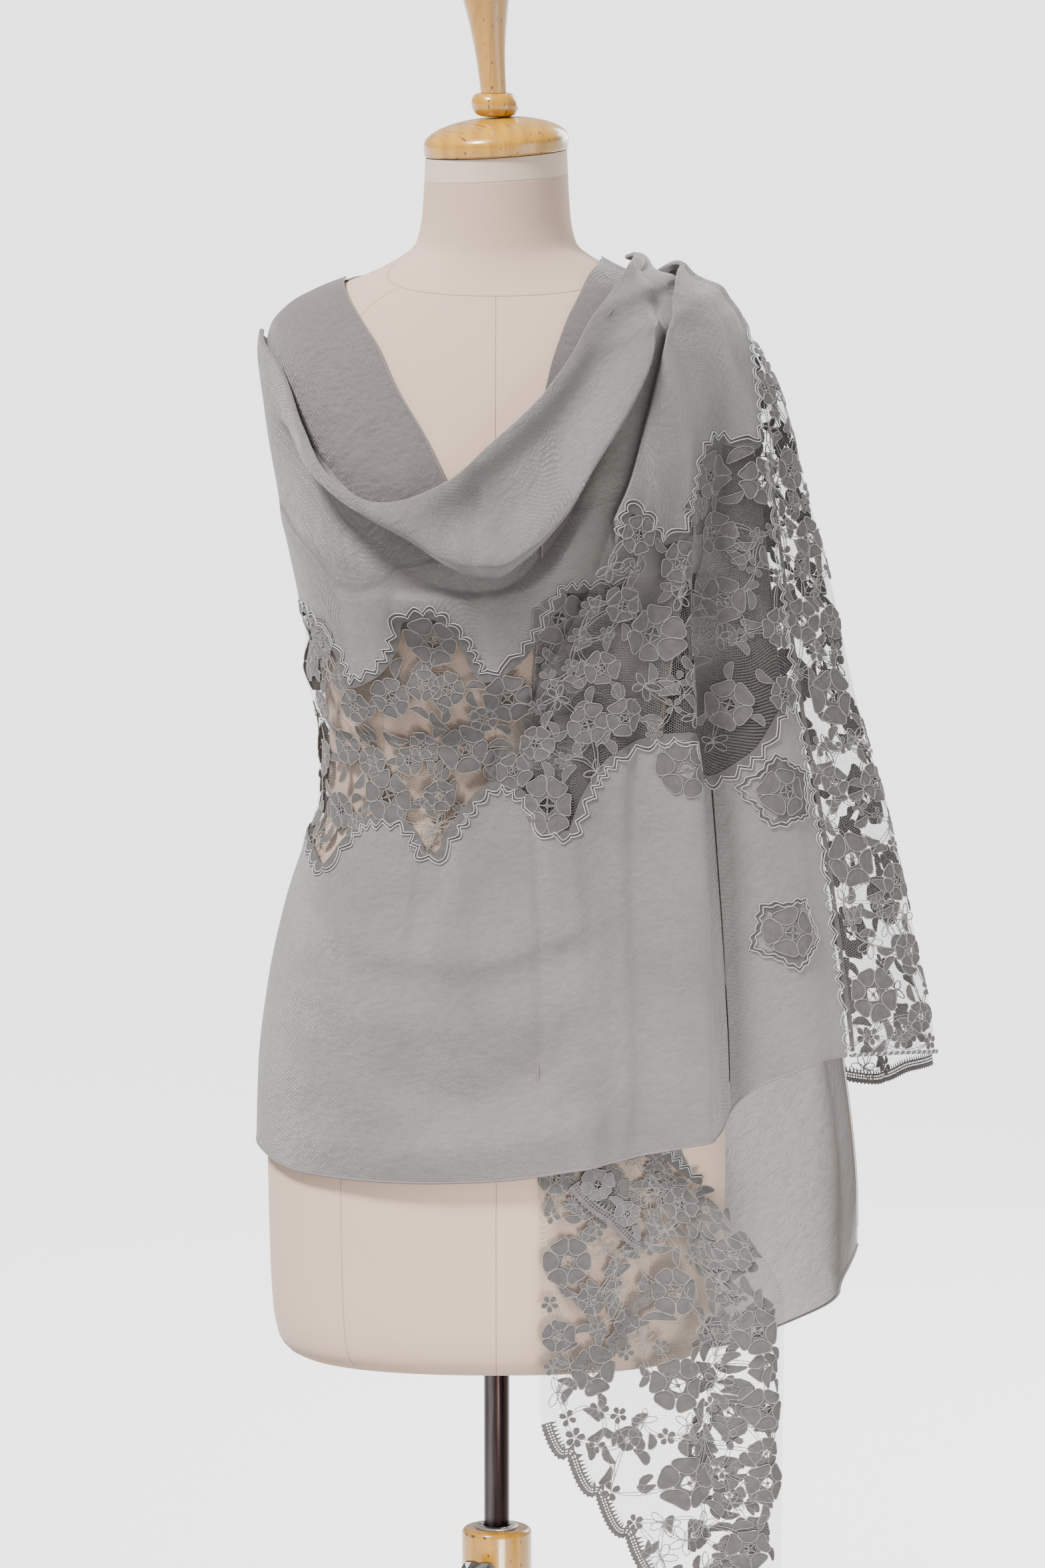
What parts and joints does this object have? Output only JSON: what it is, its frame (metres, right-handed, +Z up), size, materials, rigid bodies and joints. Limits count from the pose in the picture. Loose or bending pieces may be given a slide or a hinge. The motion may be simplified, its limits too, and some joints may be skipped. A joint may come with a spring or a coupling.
{
  "type": "lace shawl on a limbless dress form",
  "caption": "Long wool shawl with inset lace bands and scalloped lace ends, wound with a cowl over a limbless dress form on a steel pole and round base.",
  "frame": {"origin": "centre of the base's underside, on the floor under the pole", "axes": "+Z up along the pole, +X to the viewer's right, front faces -Y"},
  "size_m": [0.4865, 0.34, 1.525],
  "materials": {
    "wool": "fine lozenge twill with a soft silky sheen, grey with a faint mauve cast",
    "lace": "matte corded floral lace on a fine hexagonal net",
    "form_cover": "smooth cream pink woven cover with seams",
    "varnished_wood": "honey-coloured turned wood under gloss varnish",
    "steel": "polished tube with dull streaks",
    "black_plastic": "moulded, slightly glossy",
    "painted_iron": "smooth dark enamel"
  },
  "bodies": {
    "stand": {"base": "painted_iron", "column": "painted_iron", "hub": "varnished_wood", "hub_plate": "steel"},
    "knob": {"clamp_knob": "black_plastic"},
    "post": {"pole": "steel"},
    "form": {"pole_flange": "steel", "torso": "form_cover", "neck_cap": "varnished_wood", "finial_collar": "varnished_wood", "finial": "varnished_wood", "first_stretch": "wool", "first_end_lace": "lace", "first_end_ruffle": "lace", "left_shoulder": "wool", "back_upper": "wool", "back_mid": "wool", "back_band": "lace", "back_lower": "wool", "bodice_cowl": "wool", "waist_band": "lace", "lower_wrap": "wool", "outer_panel": "wool", "outer_band": "lace", "side_fall": "wool", "side_band": "lace", "second_end_lace": "lace", "back_fall": "wool"}
  },
  "joints": [
    {"name": "height", "type": "slide", "parent": "stand", "child": "post", "axis": [0, 0, 1], "range_m": [-0.1, 0.19]},
    {"name": "turn", "type": "hinge", "parent": "post", "child": "form", "pos_m": [0, 0, 0.5], "axis": [0, 0, 1], "continuous": true},
    {"name": "clamp", "type": "hinge", "parent": "stand", "child": "knob", "pos_m": [0, 0, 0.388], "axis": [-0.309, -0.9511, 0], "continuous": true}
  ]
}
